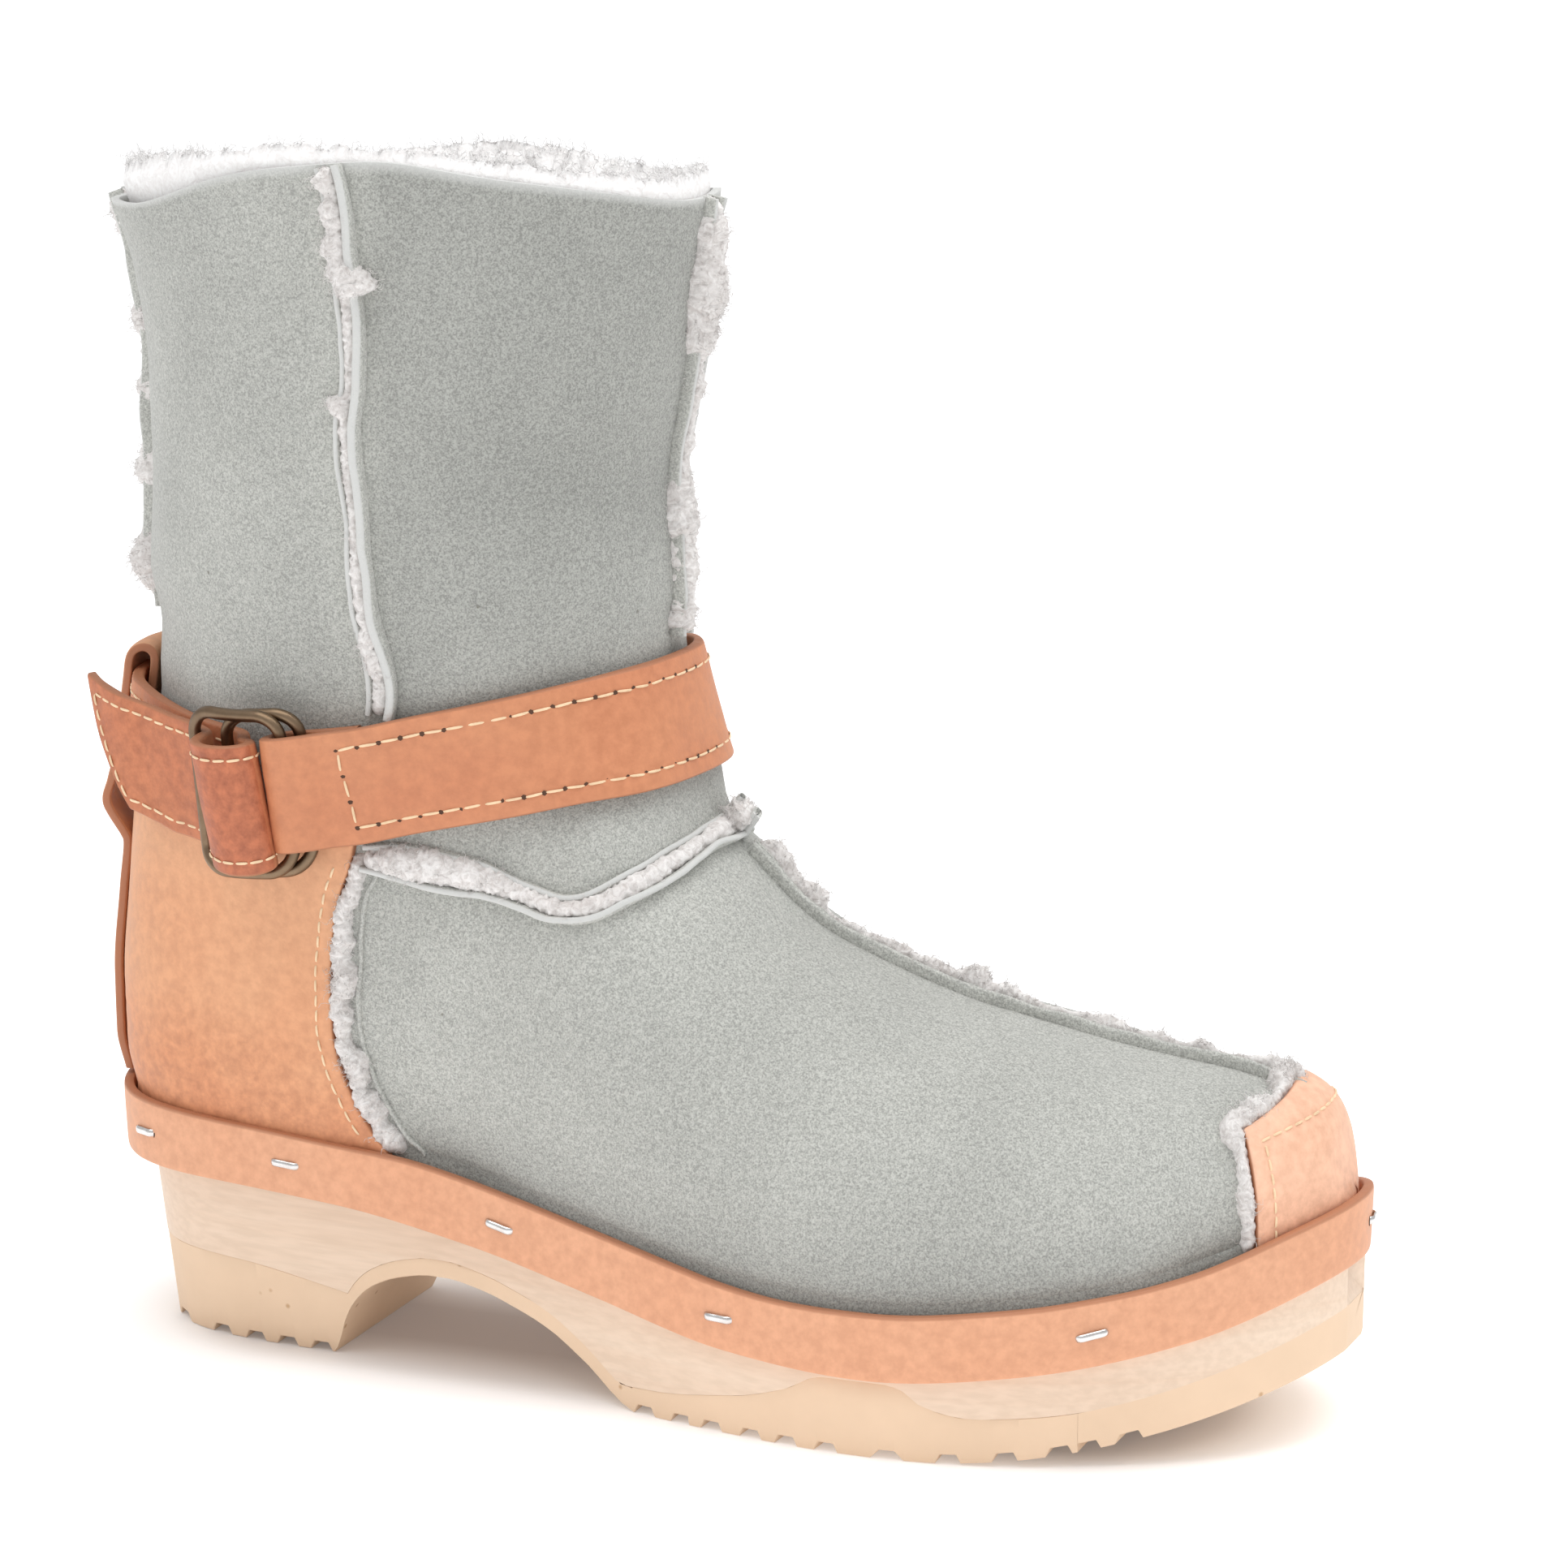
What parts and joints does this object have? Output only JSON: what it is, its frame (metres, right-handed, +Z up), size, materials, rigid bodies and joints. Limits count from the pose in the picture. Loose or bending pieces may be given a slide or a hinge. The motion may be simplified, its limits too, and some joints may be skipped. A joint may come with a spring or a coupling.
{
  "type": "clog boot",
  "caption": "Ankle boot for the right foot: carved wooden clog sole on a moulded rubber outsole, sheepskin upper in a stapled leather welt band, and an ankle strap with a ring buckle.",
  "frame": {"origin": "middle of the boot's footprint, on the floor that heel and ball rest on", "axes": "+X from heel to toe, +Z up, -Y to the outer side of the foot, so this is a right boot"},
  "size_m": [0.2704, 0.1014, 0.2459],
  "materials": {
    "suede": "sheepskin suede, sage grey, with pale fleece at its raw edges",
    "fleece": "short off-white fleece",
    "tan_leather": "smooth vegetable-tanned leather, peach tan",
    "wood": "pale sanded wood",
    "rubber": "matt beige moulded rubber",
    "brass": "dark antique brass wire",
    "steel": "steel staple wire"
  },
  "bodies": {
    "root": {"upper": "suede", "wood_sole": "wood", "outsole": "rubber", "insole": "fleece", "welt_band": "tan_leather", "heel_counter": "tan_leather", "backstay_loop": "tan_leather", "toe_tab": "tan_leather", "ankle_strap": "tan_leather", "buckle_ring_inner": "brass", "buckle_ring_outer": "brass", "vamp_seam": "suede", "ankle_seam": "suede", "shaft_lateral_seam": "suede", "shaft_medial_seam": "suede", "shaft_front_seam": "suede", "shaft_back_seam": "suede", "staple_01": "steel", "staple_02": "steel", "staple_03": "steel", "staple_04": "steel", "staple_05": "steel", "staple_06": "steel", "staple_07": "steel", "staple_08": "steel", "staple_09": "steel", "staple_10": "steel", "staple_11": "steel"}
  },
  "joints": []
}
